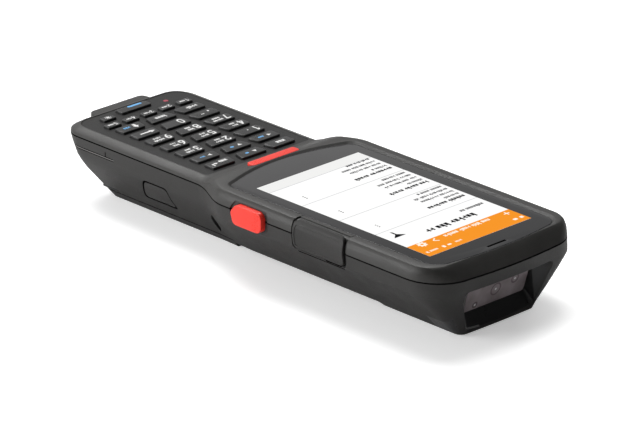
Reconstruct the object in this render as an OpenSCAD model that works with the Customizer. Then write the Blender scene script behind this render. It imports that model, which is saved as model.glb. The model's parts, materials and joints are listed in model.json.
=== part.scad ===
// Handheld barcode data terminal: touch screen, keypad, side scan triggers and a scanner in the nose.
// Lies on its back. +Y points out of the scanner, +X to the user's right, +Z out of the screen.
// The origin is on the surface that it rests on, below the middle of the terminal.

/* [Body] */
// Length of the terminal, from the nose to the tip of the tail lip
body_l = 206; // [204:1:212]
// Width over the screen half, at the parting line
screen_w = 75.8; // [75:0.2:79]
// Width over the keypad half, at the parting line
keypad_w = 60.6; // [60:0.2:64]
// Height of the glass above the resting surface
body_h = 30; // [29:0.5:33]
// Depth of the parting line below the glass
parting_drop = 5; // [4.8:0.1:5.6]
// Width of the flat on the back
back_w = 37.2; // [36:0.2:38]
// Wall thickness of the housings
wall = 2.2; // [2:0.1:2.4]
// Angle that the nose leans back below the parting line
nose_rake = 16; // [15:0.5:18]
// Depth of the solid nose, from its face to the inside
nose_wall = 9.5; // [9.2:0.1:10.5]
// Corner radius of the nose at the parting line
nose_r = 16; // [14:0.5:18]
// How far the middle of the nose bows out
nose_bow = 1.2; // [0.8:0.1:1.6]
// Corner radius of the tail at the parting line
tail_r = 8.5; // [8:0.25:9.5]
// Length of the waist between the screen half and the keypad half
waist_l = 21; // [19:0.5:23]
// How far the lip stands out of the tail
lip_l = 3; // [2.5:0.25:4]
// Width of the lip
lip_w = 27; // [22:0.5:29]
// Height of the bezel above the glass
bezel_lift = 0.5; // [0.3:0.05:0.8]
// How far the back is raised between the battery and the scanner
back_step = 2; // [1.6:0.1:2.2]

/* [Screen] */
// Distance from the nose to the middle of the screen
screen_back = 60; // [59:0.25:61]
// Width of the bezel on either side of the glass, out to the parting line
bezel_w = 6.6; // [6.4:0.1:7.4]
// Thickness of the glass
glass_t = 1.1; // [0.8:0.1:1.2]
// Distance from the middle of the screen to the scanner end of the glass
glass_up = 53.7; // [53:0.1:54.2]
// Distance from the middle of the screen to the keypad end of the glass
glass_down = 57.5; // [57:0.1:58]
// Radius of the glass's two corners at the scanner end
glass_r = 6.5; // [5:0.25:8]
// How far the keypad end of the glass bows out
glass_bow = 5; // [4:0.25:5.5]
// Width of the border between the glass's edge and the display panel
border_w = 3.3; // [2.8:0.1:4.3]
// Length of the display panel
display_l = 92; // [90:0.5:93]
// Thickness of the display panel
display_t = 2.2; // [1.8:0.1:2.4]
// Length of the earpiece slot
earpiece_l = 9.6; // [8:0.2:11]
// Width of the earpiece slot
earpiece_w = 1; // [0.8:0.1:1.3]

/* [Keypad] */
// Depth of the keypad below the glass
deck_drop = 2.45; // [2.3:0.05:2.6]
// Width of the rim on either side of the keypad panel
rim_w = 4.1; // [3.7:0.1:4.5]
// Thickness of the keypad panel
panel_t = 1; // [0.9:0.05:1.1]
// Gap between the main keys of a row
column_gap = 3.7; // [3.4:0.05:4.1]
// Gap between the rows of main keys
row_gap = 2.9; // [2.6:0.05:3.2]
// Slant of the ends that face the middle column
key_slant = 0.6; // [0:0.1:0.9]
// Height of the keys above the panel
key_h = 0.95; // [0.9:0.05:1.3]
// How far a key goes down
key_travel = 0.65; // [0.4:0.05:0.7]
// Gap between the small keys
small_gap = 2.6; // [2.2:0.05:3]
// Width of a small key
small_w = 3.3; // [3:0.1:3.5]
// Length of the power key
power_l = 15; // [14:0.25:16]
// Width of the power key
power_w = 4.2; // [3.8:0.1:4.4]
// Length of the front scan key
scan_l = 23.6; // [21:0.2:24.6]
// Width of the front scan key
scan_w = 3.8; // [3.4:0.1:4]
// Gap round each key in its hole
key_gap = 0.2; // [0.15:0.01:0.25]

/* [Side triggers] */
// Length of a side trigger
trigger_l = 15.8; // [15:0.2:17]
// Height of a side trigger
trigger_h = 7.8; // [7:0.1:8.4]
// How far a trigger stands out of the side
trigger_out = 1.4; // [1.2:0.1:1.8]
// How far a trigger goes in
trigger_travel = 1.2; // [0.8:0.1:1.3]
// Distance from the middle of the screen to the middle of a trigger
trigger_back = 35.2; // [34.4:0.1:35.8]

/* [Port cover] */
// Length of the port cover
flap_l = 25; // [24.4:0.2:26]
// Depth of the port cover's lower edge below the parting line
flap_drop = 5.1; // [4.4:0.1:5.2]
// Distance from the middle of the screen to the hinge line, towards the keypad
flap_back = 12.4; // [11.6:0.2:13]
// How far the port cover stands out of the side
flap_out = 0.6; // [0.4:0.1:0.8]
// Thickness of the port cover
flap_t = 1.7; // [1.5:0.1:1.8]

/* [Battery] */
// Height of the battery cover's seam
cover_z = 3; // [2.8:0.1:3.4]
// Width of the battery pack
pack_w = 30; // [28:0.25:31]
// Distance from the tail to the battery bay
bay_back = 20.3; // [19:0.25:24]
// Depth of the battery pack's top below the glass
pack_drop = 11.1; // [10.8:0.1:12]
// Length of a release latch along its lower edge
latch_l = 16.7; // [15:0.1:17.4]
// Length of a release latch along its upper edge
latch_top_l = 11.8; // [10:0.1:12.4]
// How far a latch goes in
latch_travel = 1; // [0.6:0.05:1.1]

/* [Scanner] */
// Width of the hood's mouth at its top
hood_w = 50; // [46:0.5:52]
// Width of the hood's mouth at its bottom
hood_low_w = 34; // [32:0.5:35]
// Depth of the hood, from the nose's face to the window
hood_d = 5; // [4.6:0.1:5.3]
// Width of the scan window
window_w = 31; // [29:0.25:32]
// Height of the scan window
window_h = 13.4; // [12:0.1:14]
// Thickness of the scan window
window_t = 1.5; // [1.2:0.1:1.6]
// Diameter of the camera lens behind the window
lens_d = 6.4; // [5:0.1:7]

/* [Fasteners] */
// Diameter of the housing screws
screw_d = 2; // [1.8:0.1:2.2]
// Diameter of the screw heads
head_d = 3.8; // [3.5:0.1:4]

/* [Hidden] */
dark = "#3b3b3a";
darker = "#302f2e";
key_black = "#232323";
signal_red = "#fa5041";
board_green = "#1d5a3c";
eps = 0.01;
slack = 0.15;                                   // gap round a piece that sits in a pocket
line = 0.3;                                     // gap that shows round the latches and the covers
nose_y = body_l/2;
tail_y = -body_l/2 + lip_l;
screen_y = nose_y - screen_back;
part_z = body_h - parting_drop;                 // level of the parting line
deck_z = body_h - deck_drop;                    // top of the keypad panel
rim_z = deck_z + 0.15;                          // top of the rim round the panel
pack_top = body_h - pack_drop;
glass_w = screen_w - 2*bezel_w;
display_w = glass_w - 2*border_w;
panel_w = keypad_w - 2*rim_w;
flap_z = part_z - flap_drop;
wide = screen_w;                                // reach of a cut that runs right across
bezel_z = body_h + bezel_lift;
crease_z = part_z - 5.7;                        // soft edge along the side of the screen half
belly_z = part_z - 10.3;                        // soft edge along the side of the keypad half
waist_top = screen_y - 49;                      // where the screen half starts to narrow
waist_end = waist_top - waist_l;
ramp_y = screen_y - 68.3;                       // foot of the ramp from the keypad to the screen
ramp_top = ramp_y + 10.5;
tip_y = tail_y + 3.2;                           // tail end of the keypad panel

function mix(a, b, t) = a + (b - a)*t;
function ease(t) = let (c = min(1, max(0, t))) c*c*(3 - 2*c);
function share(y, from, to) = (y - from)/(to - from);

// Outline with rounded corners from [x, y, radius] corners, listed anticlockwise
function round_corner(a, b, c, r, n) =
    r <= 0 ? [b] :
    let (u = (a - b)/norm(a - b), v = (c - b)/norm(c - b), half = acos(u*v)/2)
    let (mid = b + (u + v)/norm(u + v)*r/sin(half), p = b + u*r/tan(half) - mid)
    let (way = u[0]*v[1] - u[1]*v[0] < 0 ? 1 : -1, sweep = way*(180 - 2*half))
    [for (i = [0:n]) let (s = sweep*i/n) mid + [p[0]*cos(s) - p[1]*sin(s), p[0]*sin(s) + p[1]*cos(s)]];
function rounded(pts, n = 5) = let (m = len(pts))
    [for (i = [0:m-1])
        let (a = pts[(i + m - 1)%m], b = pts[i], c = pts[(i + 1)%m])
        each round_corner([a[0], a[1]], [b[0], b[1]], [c[0], c[1]], b[2], n)];
// The same corners moved out by d, for a clearance or a flange
function grow(pts, d) = let (m = len(pts))
    [for (i = [0:m-1])
        let (a = pts[(i + m - 1)%m], b = pts[i], c = pts[(i + 1)%m])
        let (e = [b[0] - a[0], b[1] - a[1]], f = [c[0] - b[0], c[1] - b[1]])
        let (p = [e[1], -e[0]]/norm(e), q = [f[1], -f[0]]/norm(f), k = (p + q)/(1 + p*q))
        [b[0] + k[0]*d, b[1] + k[1]*d, max(0, b[2] + d)]];
function box_corners(w, h, r) = [[-w/2, -h/2, r], [w/2, -h/2, r], [w/2, h/2, r], [-w/2, h/2, r]];
function moved(pts, v) = [for (p = pts) [p[0] + v[0], p[1] + v[1], p[2]]];

module plate(corners, z0, z1, n = 5) {
    translate([0, 0, z0]) linear_extrude(z1 - z0) polygon(rounded(corners, n));
}
// A plate that stands on its side: corners are [y, z], and it runs from x0 to x1
module side_plate(corners, x0, x1, n = 5) {
    translate([x0, 0, 0]) rotate([90, 0, 90]) linear_extrude(x1 - x0) polygon(rounded(corners, n));
}
// A section [x, z] that runs from y0 to y1
module bar(section, y0, y1) {
    translate([0, y1, 0]) rotate([90, 0, 0]) linear_extrude(y1 - y0) polygon(section);
}
module block(x0, x1, y0, y1, z0, z1) {
    translate([x0, y0, z0]) cube([x1 - x0, y1 - y0, z1 - z0]);
}
module both_sides() {
    children();
    mirror([1, 0, 0]) children();
}

// One level of the housing: [z over the screen, z over the keypad, screen half width, nose, nose radius,
// keypad half width, tail, tail radius], swept from the middle of the nose round the right side to the tail
function half_ring(l) =
    let (sw = l[2], nose = l[3], rn = l[4], kw = l[5], tail = l[6], rt = l[7], bow = nose_bow*rn/nose_r)
    concat(
        [for (i = [0:4]) [(sw - rn)*i/4, nose - bow*pow(i/4, 2)]],
        [for (i = [1:10]) [sw - rn + rn*sin(9*i), nose - bow - rn + rn*cos(9*i)]],
        [[sw, waist_top]],
        [for (i = [1:14]) [mix(sw, kw, ease(i/14)), mix(waist_top, waist_end, i/14)]],
        [for (i = [0:9]) [kw - rt + rt*cos(10*i), tail + rt - rt*sin(10*i)]],
        [[0, tail - tail_bow]]);
function full_ring(l, from, to) = let (h = half_ring(l), m = len(h))
    [for (p = concat(h, [for (i = [m-2:-1:1]) [-h[i][0], h[i][1]]]))
        [p[0], p[1], mix(l[1], l[0], ease(share(p[1], from, to)))]];

// Skin through matched rings, closed by strips across the first and the last one
module skin(rings) {
    n = len(rings[0]);
    m = n/2 + 1;
    last = (len(rings) - 1)*n;
    walls = [for (k = [0:len(rings)-2], i = [0:n-1]) let (a = k*n + i, b = k*n + (i + 1)%n)
        each [[a, b, b + n], [a, b + n, a + n]]];
    strip = concat([[0, 1, n - 1]],
        [for (i = [1:m-3]) each [[i, i + 1, n - i - 1], [i, n - i - 1, n - i]]],
        [[m - 2, m - 1, m]]);
    faces = concat(walls,
        [for (f = strip) [f[2], f[1], f[0]]],
        [for (f = strip) [for (i = f) i + last]]);
    polyhedron([for (r = rings) each r], faces, convexity = 8);
}

// Levels of the lower housing, from the back up to the parting line
rake = tan(nose_rake);
nose_lift = 0.8;                                // the scanner stays this far off the table
function nose_at(z) = nose_y - (part_z - z)*rake;
function side_at(z) = z <= crease_z ? back_w/2 + z*(screen_w/2 - 1 - back_w/2)/crease_z
    : mix(screen_w/2 - 1, screen_w/2, (z - crease_z)/(part_z - crease_z));
belly_w = keypad_w/2 - 1.9;
tail_bow = 0.25;                                // how far the middle of the tail bows out
tail_tuck = 12.4;                               // how far the tail draws in towards the back
foot_w = back_w/2 - 0.8;
below_belly = (cover_z + 3*belly_z)/4;
above_belly = (belly_z + crease_z)/2;
// Side of the keypad half: two slopes that meet at the belly, where the corner is eased off
function flank_at(z) = lookup(z, [[0, foot_w], [below_belly, mix(foot_w, belly_w, below_belly/belly_z)],
    [belly_z, belly_w - 0.5],
    [above_belly, mix(belly_w, keypad_w/2, (above_belly - belly_z)/(part_z - belly_z))],
    [part_z, keypad_w/2]]);
function end_at(z) = tail_y + tail_tuck*pow((part_z - z)/part_z, 1.5);
function level(z, rn, rt) = [z, z, side_at(z), nose_at(z), rn, flank_at(z), end_at(z), rt];
// Height, nose radius and tail radius at each bend, with a level halfway between neighbours
bends = [[0, 2.6, 5], [cover_z, 4.5, 6], [(cover_z + belly_z)/2, 6.5, 7.2], [belly_z, 9, tail_r - 0.6],
    [crease_z, 11.5, tail_r - 0.2], [part_z, nose_r, tail_r]];
lower_levels = concat(
    [for (i = [0:len(bends)-2], t = [0, 0.5])
        let (b = mix(bends[i], bends[i + 1], t)) level(b[0], b[1], b[2])],
    [level(part_z, nose_r, tail_r)]);
floor_z = back_step + wall;                     // inside of the back, under the screen
shelf_z = pack_top + 0.4 + wall;                // floor under the keypad, over the battery
slope_wall = wall*1.4;
inner_levels = [
    [part_z, part_z, side_at(part_z) - wall, nose_at(part_z) - nose_wall, nose_r - wall - 1,
        keypad_w/2 - wall, tail_y + 3.4, tail_r - wall],
    [crease_z - 0.6, part_z - 1.4, side_at(crease_z - 0.6) - slope_wall, nose_at(crease_z) - nose_wall, 10.5,
        keypad_w/2 - wall - 0.5, tail_y + 4, tail_r - wall],
    [floor_z, shelf_z, side_at(floor_z) - slope_wall, nose_at(floor_z) - nose_wall, 3,
        keypad_w/2 - wall - 1, tail_y + 4.6, tail_r - wall]];
bay_end = waist_top - 11.5;                     // scanner end of the battery bay
function lower_ring(l) = full_ring(l, bay_end + 2, bay_end + 11);

// Levels of the upper housing, from the parting line up to the bezel and the keypad rim
upper_h = bezel_z - part_z;
rim_h = rim_z - part_z;
function upper_level(up, side_in, nose_in, rim_up, rim_in, tail_in) =
    [part_z + upper_h*up, part_z + rim_h*rim_up, screen_w/2 - side_in, nose_y - nose_in, nose_r - 7*up,
        keypad_w/2 - rim_in, tail_y + tail_in, tail_r - rim_in/2];
upper_levels = [
    upper_level(0, 0, 0, 0, 0, 0),
    upper_level(0.48, 0.25, 2.4, 0.42, 0.15, 0.15),
    upper_level(0.8, 0.95, 4.2, 0.52, 0.45, 0.45),
    upper_level(0.95, 1.75, 5.2, 0.97, 3.3, 2.3),
    upper_level(1, 2.7, 5.6, 1, 3.6, 2.7)];
module upper_form() {
    skin([for (l = upper_levels) full_ring(l, ramp_y, ramp_top)]);
}
module lower_form() {
    skin([for (l = lower_levels) full_ring(l, 0, 1)]);
}

// Glass outline: bowed at both ends, grown by d
function glass_outline(d) =
    let (hw = glass_w/2 + d, top = screen_y + glass_up + d, low = screen_y - glass_down - d)
    let (rt = glass_r + d, rl = 3 + d, side = low + glass_bow + rl, dip = 1.9)
    let (right = concat(
        [for (i = [0:6]) let (t = i/6) [(hw - rl)*t, low + glass_bow*t*t]],
        [for (i = [1:6]) let (a = -90 + 15*i) [hw - rl + rl*cos(a), side + rl*sin(a)]],
        [for (i = [0:8]) let (a = 90*i/8) [hw - rt + rt*cos(a), top - dip - rt + rt*sin(a)]],
        [for (i = [5:-1:1]) let (t = i/6) [(hw - rt)*t, top - dip*t*t]]))
    concat(right, [[0, top]], [for (i = [len(right)-1:-1:1]) [-right[i][0], right[i][1]]]);
module glass_plate(d, z0, z1) {
    translate([0, 0, z0]) linear_extrude(z1 - z0) polygon(glass_outline(d));
}
// Pocket of the glass, with a mouth that opens up to the bezel
module glass_pocket() {
    rings = [[slack, glass_bed], [slack, body_h - 0.2], [2.2, bezel_z + 0.6]];
    n = len(glass_outline(0));
    faces = concat([[for (i = [0:n-1]) i]], [[for (i = [3*n-1:-1:2*n]) i]],
        [for (k = [0:1], i = [0:n-1]) let (a = k*n + i, b = k*n + (i + 1)%n)
            each [[a, a + n, b], [b, a + n, b + n]]]);
    polyhedron([for (r = rings, p = glass_outline(r[0])) [p[0], p[1], r[1]]], faces, convexity = 4);
}
glass_bed = body_h - glass_t;
display_bed = glass_bed - display_t;
roof_z = glass_bed - 1.7;                       // inside of the bezel
ledge_z = deck_z - panel_t;                     // what the keypad panel lies on

// Keypad
power_y = tail_y + 7;
small_y = power_y + 8.3;
light_y = power_y + 2;
first_gap = 2.35;                               // from the foot of the ramp to the first row of keys
last_gap = 2.3;                                 // from the last row to the small keys
key_dy = (ramp_y - first_gap - small_y - small_w/2 - last_gap + row_gap)/7;     // from row to row
key_w = key_dy - row_gap;
row_y = ramp_y - first_gap - key_w/2;           // middle of the first row
key_dx = (panel_w - 10.5 + column_gap)/3;       // from column to column
key_l = key_dx - column_gap;
small_dx = (panel_w - 9.5 + small_gap)/5;
small_l = small_dx - small_gap;
light_x = 14.8;
scan_y = ramp_y + 7.3;
scan_top = body_h + 0.4;
flange = 0.6;
key_foot = ledge_z - 0.2;                       // top of the keys' flanges, under the panel
key_low = key_foot - 0.5;
mat_z = key_low - key_travel - 0.2;             // top of the rubber mat
board_z = shelf_z;
board_t = 1;
panel_corners = [
    [-panel_w/2, tip_y, 6], [panel_w/2, tip_y, 6],
    [panel_w/2, ramp_y - 0.4, 1.5], [-panel_w/2, ramp_y - 0.4, 1.5]];
// Main keys: side is -1, 0 or 1 for the left, middle and right column
function main_corners(side, row) = let (h = key_w/2, l = key_l/2, s = key_slant)
    moved(side == 0 ? [[-l + s, -h, 0.7], [l - s, -h, 0.7], [l + s, h, 0.7], [-l - s, h, 0.7]]
        : side > 0 ? [[-l - s, -h, 0.7], [l, -h, 0.7], [l, h, 0.7], [-l + s, h, 0.7]]
        : [[-l, -h, 0.7], [l + s, -h, 0.7], [l - s, h, 0.7], [-l, h, 0.7]],
        [side*key_dx, row_y - row*key_dy]);
function small_corners(i) = moved(box_corners(small_l, small_w, 0.6), [(i - 3)*small_dx, small_y]);
light_corners = moved(box_corners(small_l - 0.4, small_w - 0.2, 0.6), [light_x, light_y]);
power_corners = moved(box_corners(power_l, power_w, 0.8), [0, power_y]);
scan_corners = moved(box_corners(scan_l, scan_w, 0.9), [0, scan_y]);
all_keys = concat(
    [for (row = [0:6], side = [-1:1]) main_corners(side, row)],
    [for (i = [1:5]) small_corners(i)],
    [light_corners, power_corners]);
module key_cap(corners) {
    color(key_black) union() {
        plate(corners, key_low, deck_z + key_h, 3);
        plate(grow(corners, flange), key_low, key_foot, 3);
    }
}
module main_key(side, row) { key_cap(main_corners(side, row)); }
led_at = [-light_x, light_y];
mic_at = [12.6, tail_y + 1.6];

// Side pieces: the right one, mirrored for the left
trigger_y = screen_y - trigger_back;
trigger_z = part_z - 0.8;
trigger_corners = moved([
    [-trigger_l/2 + 1.4, -trigger_h/2, 2.2], [trigger_l/2, -trigger_h/2, 2.6], [trigger_l/2, trigger_h/2, 2.6],
    [-trigger_l/2 + 2.6, trigger_h/2, 2.6], [-trigger_l/2, 0.6, 1.6]], [trigger_y, trigger_z]);
side_x = screen_w/2;
trigger_face = side_x + trigger_out;
dish_x = side_x - 0.7;                          // floor of the dish round a trigger
trigger_back_x = dish_x - wall + 0.1;           // inside of the side wall at a trigger
trigger_foot_x = trigger_back_x - 1.2;

flap_y = screen_y - flap_back;
flap_top = bezel_z + 0.25;
flap_in = side_x + flap_out - flap_t;
flap_corners = [[flap_y, flap_z, 2], [flap_y + flap_l, flap_z, 1.8], [flap_y + flap_l, flap_top, 2.6],
    [flap_y, flap_top, 2.4]];
// Section of the side wall, moved out by d, that the cover wraps round
function shoulder(d) = [[side_at(crease_z) + d, crease_z], [side_x + d, part_z],
    [side_x - 0.25 + d, part_z + upper_h*0.48], [side_x - 0.95 + d, part_z + upper_h*0.8 + d/2],
    [side_x - 1.75 + d/2, bezel_z - 0.25 + d], [side_x - 2.7, bezel_z + d], [side_x - 4, bezel_z + d]];
module flap_pocket() {
    intersection() {
        bar(concat(shoulder(3), [[side_x - 4, bezel_z - 0.45], [side_x - 2.2, bezel_z - 0.5],
            [flap_in - 0.25, bezel_z - 2.3], [flap_in - 0.25, crease_z]]),
            flap_y - 2, flap_y + flap_l + 2);
        side_plate(grow(flap_corners, line), side_x - 5, side_x + 5);
    }
    // step down round the cover
    intersection() {
        bar(concat(shoulder(3), [for (i = [6:-1:0]) shoulder(-0.45)[i]]), flap_y - 1, flap_y + flap_l + 2);
        side_plate(grow(flap_corners, 1.3), side_x - 5, side_x + 5);
    }
    // room for the free end to swing out
    intersection() {
        bar(concat(shoulder(3), [[side_x - 4, bezel_z - 0.45], [side_x - 2.2, bezel_z - 0.5],
            [flap_in - 0.25, bezel_z - 2.3], [flap_in - 0.25, crease_z]]),
            flap_y + flap_l - 3, flap_y + flap_l + 2);
        side_plate(grow(moved(flap_corners, [0.2, 0]), line), side_x - 5, side_x + 5);
    }
    // slot for a fingernail under the free end
    block(side_x - 2.2, side_x + 3, flap_y + flap_l - 9.6, flap_y + flap_l - 1.6, flap_z - 0.6, flap_z + 0.2);
}
usb_y = flap_y + 8.4;
jack_y = flap_y + 20.2;
port_z = part_z - 1.4;
anchor_l = 0.9;

// Battery release latch
latch_y = mix(waist_end, tail_y, 0.341);
latch_low = belly_z - 6.1;
latch_high = belly_z + 2.3;
latch_corners = [[latch_y - latch_l/2, latch_low, 1], [latch_y + latch_l/2, latch_low, 0.8],
    [latch_y + 1.2 + latch_top_l/2, latch_high, 2], [latch_y + 1.2 - latch_top_l/2, latch_high, 1.6]];
// Section of the keypad half's flank, moved in by d
function flank(d) = [for (z = [cover_z, below_belly, belly_z, above_belly, part_z - 3]) [flank_at(z) - d, z]];
// Band between two depths below the flank
module flank_band(outer, inner, y0, y1) {
    out = flank(outer);
    in = flank(inner);
    bar(concat(out, [for (i = [4:-1:0]) in[i]]), y0, y1);
}
latch_wall = 2.4;

// Battery
bay_w = pack_w + 0.8;
bay_start = tail_y + bay_back;                  // keypad end of the bay
pack_l = bay_end - bay_start - 2.2;
pack_y0 = bay_start + 0.4;
cover_y = bay_end + 0.5;                        // scanner end of the cover
cover_t = 1.6;

// Scanner: measured along the raked face of the nose
module on_nose() {
    translate([0, nose_at(0), 0]) rotate([-nose_rake, 0, 0]) children();
}
hood_low = 1.5;
hood_high = (part_z - 5.52)/cos(nose_rake);
window_s = hood_high - 0.6 - window_h/2;        // middle of the window, up along the nose
function nose_ring(w_top, w_low, s0, s1, y, r) =
    [for (p = rounded([[-w_low/2, s0, r], [w_low/2, s0, r], [w_top/2, s1, r], [-w_top/2, s1, r]], 5))
        [p[0], y, p[1]]];
module hood() {
    out = 3;
    flare = out/hood_d;
    rings = [
        nose_ring(window_w, window_w, window_s - window_h/2, window_s + window_h/2, -hood_d, 1.2),
        nose_ring(hood_w, hood_low_w, hood_low, hood_high, 0, 2.4),
        nose_ring(hood_w + 4, hood_low_w + 2, hood_low - 0.4, hood_high, out, 2.4)];
    n = len(rings[0]);
    faces = concat([[for (i = [n-1:-1:0]) i]], [[for (i = [0:n-1]) 2*n + i]],
        [for (k = [0:1], i = [0:n-1]) let (a = k*n + i, b = k*n + (i + 1)%n)
            each [[a, b, b + n], [a, b + n, a + n]]]);
    on_nose() polyhedron([for (r = rings) each r], faces);
}
module nose_box(w, s0, s1, y0, y1, r) {
    on_nose() translate([0, y1, 0]) rotate([90, 0, 0]) linear_extrude(y1 - y0)
        polygon(rounded(moved(box_corners(w, s1 - s0, r), [0, (s0 + s1)/2]), 4));
}

// Screws: the pair by the battery bay, and the pair at the tail
waist_screw = [13, bay_end - 5];
tail_screw = [20.5, tail_y + 5.5];
tail_head_z = belly_z + 2.5;
head_h = 1.4;
bay_top = pack_top + 0.4;
post_at = [for (x = [-14, 14], y = [screen_y - 36, screen_y + 22]) [x, y]];
boss_d = 5.6;
heel_y = screen_y + 14;
pcb_z = crease_z + 0.2;
pcb_t = 1.6;

module rod(p, d, z0, z1) {
    translate([p[0], p[1], z0]) cylinder(d = d, h = z1 - z0, $fn = 48);
}
module posts(d, z0, z1) {
    for (p = post_at) rod(p, d, z0, z1);
}
module screw_columns(d, z0, z1) {
    both_sides() {
        rod(waist_screw, d, z0, z1);
        rod(tail_screw, d, z0, z1);
    }
}

// Cuts that the two housings share, because they cross the parting line
module side_cuts() {
    both_sides() {
        side_plate(grow(trigger_corners, slack), trigger_back_x - 4, side_x + 5);
        side_plate(grow(trigger_corners, 1.8), dish_x, side_x + 5);
        side_plate(grow(trigger_corners, flange + 0.4),
            trigger_foot_x - trigger_travel - 0.5, trigger_back_x);
    }
    flap_pocket();
    block(side_x - 7, side_x, usb_y - 4.8, usb_y + 4.8, port_z - 2, port_z + 2);
    translate([side_x - 7, jack_y, port_z]) rotate([0, 90, 0]) cylinder(d = 5.4, h = 7, $fn = 48);
    block(side_x - 2.3, side_x + 2, flap_y - anchor_l, flap_y + 0.5, flap_z + 1, part_z + 2);
}

module upper_housing() {
    cavity = [[-side_x + wall, screen_y - 54, 3], [side_x - wall, screen_y - 54, 3],
        [side_x - wall, nose_y - 4.6, 12], [-side_x + wall, nose_y - 4.6, 12]];
    ledge_w = panel_w - 2.4;
    link = [[-ledge_w/2, tip_y + 0.8, 4.8], [ledge_w/2, tip_y + 0.8, 4.8],
        [ledge_w/2, screen_y - 50, 1], [-ledge_w/2, screen_y - 50, 1]];
    color(dark) difference() {
        union() {
            upper_form();
            plate([[-lip_w/2, tail_y - lip_l, 2.4], [lip_w/2, tail_y - lip_l, 2.4],
                [lip_w/2 + 0.8, tail_y + 3, 0], [-lip_w/2 - 0.8, tail_y + 3, 0]], part_z + 0.3, rim_z - 0.7);
        }
        difference() {
            union() {
                plate(cavity, part_z - 1, roof_z);
                plate(link, part_z - 1, ledge_z);
            }
            screw_columns(boss_d, 0, body_h);
        }
        plate(grow(panel_corners, slack), ledge_z, body_h + 1);
        plate(grow(scan_corners, key_gap), ledge_z - 1, body_h + 2, 3);
        plate(grow(scan_corners, flange + 0.2), ledge_z - 1, ledge_z + 0.8, 3);
        glass_pocket();
        block(-display_w/2 - slack, display_w/2 + slack,
            screen_y - display_l/2 - slack, screen_y + display_l/2 + slack, roof_z - 1, body_h);
        block(-earpiece_l/2, earpiece_l/2, screen_y + glass_up - 3.4, screen_y + glass_up - 2.4,
            roof_z - 1, body_h);
        side_cuts();
        screw_columns(screw_d, part_z - 1, part_z + 1.5);
        rod(mic_at, 0.9, rim_z - 2, rim_z + 1);
    }
}

module lower_housing() {
    color(darker) difference() {
        union() {
            skin(concat([for (l = lower_levels) full_ring(l, 0, 1)],
                [for (l = inner_levels) lower_ring(l)]));
            posts(5, back_step + 0.5, pcb_z);
            screw_columns(boss_d, shelf_z - 1, part_z);
        }
        // raised back between the battery and the scanner
        block(-wide, wide, bay_end, heel_y, -1, back_step);
        heel_slope();
        block(-wide, wide, heel_y, nose_y, -1, nose_lift);
        // battery bay and the seat of its cover
        block(-wide, wide, tail_y, cover_y, -1, cover_z + line);
        block(-bay_w/2, bay_w/2, bay_start, bay_end, 0, bay_top);
        both_sides() latch_cuts();
        screw_columns(screw_d + 0.4, 0, part_z + 1);
        both_sides() {
            rod(waist_screw, head_d + 0.3, bay_top - 1, bay_top - 0.2 + head_h);
            rod(tail_screw, head_d + 0.3, 0, tail_head_z);
        }
        gasket_ring(0.05);
        side_cuts();
        hood();
        nose_box(window_w + 0.2, window_s - window_h/2 - 0.1, window_s + window_h/2 + 0.1,
            -hood_d - window_t - 0.5, -hood_d + eps, 1.2);
        nose_box(window_w - 3, window_s - window_h/2 + 1.4, window_s + window_h/2 - 1.4,
            -hood_d - 8, -hood_d, 1);
        posts(screw_d, pcb_z - 6, pcb_z + 1);
        both_sides() strap_pocket();
        both_sides() waist_slot();
        side_grooves();
    }
}
// Slope where the raised back meets the scanner
module heel_slope() {
    rotate([90, 0, 90]) translate([0, 0, -wide]) linear_extrude(2*wide)
        polygon([[heel_y - eps, -1], [heel_y + 2.6, -1], [heel_y + 2.6, 0], [heel_y - eps, back_step]]);
}
// Hole of a release latch and the room for its flange
module latch_cuts() {
    intersection() {
        flank_band(-2, latch_wall + 4, latch_y - 12, latch_y + 12);
        side_plate(grow(latch_corners, line), 0, wide, 3);
    }
    intersection() {
        flank_band(latch_wall, latch_wall + 3.4, latch_y - 12, latch_y + 12);
        side_plate(grow(latch_corners, 1.2), bay_w/2 + 1, wide, 3);
    }
}
strap_y = tail_y + 17.2;
strap_z = cover_z + 1.4;
strap_l = 9.2;
module strap_pocket() {
    translate([flank_at(strap_z) - 0.4, strap_y, strap_z]) rotate([0, 38, 0])
        block(-2.2, 2.8, -strap_l/2, strap_l/2, -1, 1);
}
// Slot at the waist, a lens shape that runs down the flank
module waist_slot() {
    intersection() {
        flank_band(-8, 2.2, waist_end, waist_end + 12);
        translate([0, waist_end + 5.4, belly_z - 4.7]) rotate([-12, 0, 0]) side_plate(
            [[0, -5, 0.3], [1.6, -1.8, 3], [1.6, 1.8, 3], [0, 5, 0.3], [-1.6, 1.8, 3], [-1.6, -1.8, 3]],
            0, wide, 3);
    }
}
// Pair of fine lines round the tail, under the parting line
module side_grooves() {
    for (z = [part_z - 4.2, part_z - 5]) difference() {
        block(-wide, wide, tail_y - 2, tail_y + 27.8, z, z + 0.3);
        linear_extrude(body_h) polygon([for (p = full_ring(level(z, 14, tail_r - 0.5), 0, 1)) [
            sign(p[0])*max(0, abs(p[0]) - 0.3), max(p[1], end_at(z) + 0.3)]]);
    }
    both_sides() block(flank_at(part_z - 4) - 0.4, wide, tail_y + 23.5, tail_y + 24,
        part_z - 4.2, part_z - 1.9);
}
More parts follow.
